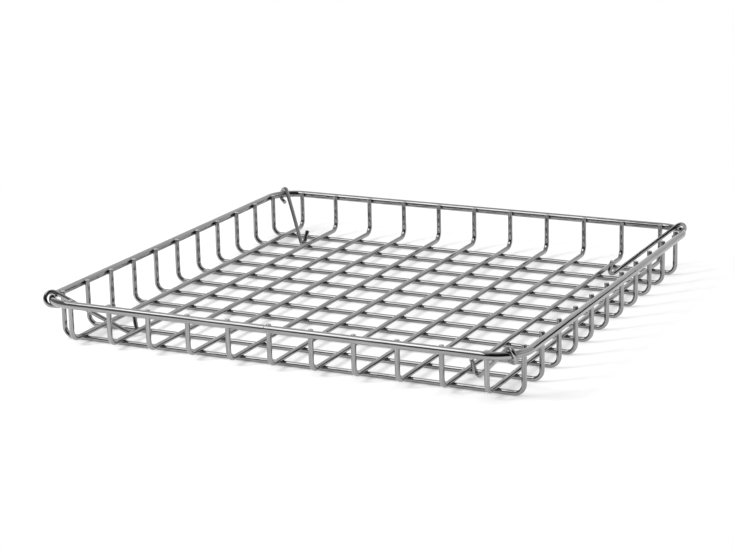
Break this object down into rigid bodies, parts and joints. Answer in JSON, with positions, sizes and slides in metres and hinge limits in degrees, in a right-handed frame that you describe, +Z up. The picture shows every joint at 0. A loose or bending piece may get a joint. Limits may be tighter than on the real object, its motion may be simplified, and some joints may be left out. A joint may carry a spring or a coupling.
{
  "type": "wire basket tray",
  "caption": "Shallow square basket tray of welded round wire: a mesh floor bent up into low walls, a thick rim with round corners, and a loose wire hook at each corner.",
  "frame": {"origin": "on the table, under the middle of the tray, where the lower floor wires stand", "axes": "+Z up, +X to the right along the lower floor wires, +Y to the back along the upper floor wires"},
  "size_m": [0.4064, 0.4064, 0.043],
  "materials": {
    "rim_wire": "bright polished stainless steel wire",
    "mesh_wire": "bright polished stainless steel wire",
    "hook_wire": "mirror polished stainless steel wire"
  },
  "bodies": {
    "tray": {"rim_wire": "rim_wire", "upper_wire_01": "mesh_wire", "upper_wire_02": "mesh_wire", "upper_wire_03": "mesh_wire", "upper_wire_04": "mesh_wire", "upper_wire_05": "mesh_wire", "upper_wire_06": "mesh_wire", "upper_wire_07": "mesh_wire", "upper_wire_08": "mesh_wire", "upper_wire_09": "mesh_wire", "upper_wire_10": "mesh_wire", "upper_wire_11": "mesh_wire", "lower_wire_01": "mesh_wire", "lower_wire_02": "mesh_wire", "lower_wire_03": "mesh_wire", "lower_wire_04": "mesh_wire", "lower_wire_05": "mesh_wire", "lower_wire_06": "mesh_wire", "lower_wire_07": "mesh_wire", "lower_wire_08": "mesh_wire", "lower_wire_09": "mesh_wire", "lower_wire_10": "mesh_wire", "lower_wire_11": "mesh_wire"},
    "front_left_hook": {"corner_hook_front_left": "hook_wire"},
    "front_right_hook": {"corner_hook_front_right": "hook_wire"},
    "back_left_hook": {"corner_hook_back_left": "hook_wire"},
    "back_right_hook": {"corner_hook_back_right": "hook_wire"}
  },
  "joints": [
    {"name": "front_left_hook_swing", "type": "hinge", "parent": "tray", "child": "front_left_hook", "pos_m": [-0.19568, -0.18954, 0.036], "axis": [0.5736, -0.8192, 0], "range_deg": [0, 225]},
    {"name": "front_right_hook_swing", "type": "hinge", "parent": "tray", "child": "front_right_hook", "pos_m": [0.19288, -0.19288, 0.036], "axis": [0.7071, 0.7071, 0], "range_deg": [0, 225]},
    {"name": "back_left_hook_swing", "type": "hinge", "parent": "tray", "child": "back_left_hook", "pos_m": [-0.19288, 0.19288, 0.036], "axis": [-0.7071, -0.7071, 0], "range_deg": [0, 225]},
    {"name": "back_right_hook_swing", "type": "hinge", "parent": "tray", "child": "back_right_hook", "pos_m": [0.19288, 0.19288, 0.036], "axis": [-0.7071, 0.7071, 0], "range_deg": [0, 225]}
  ]
}
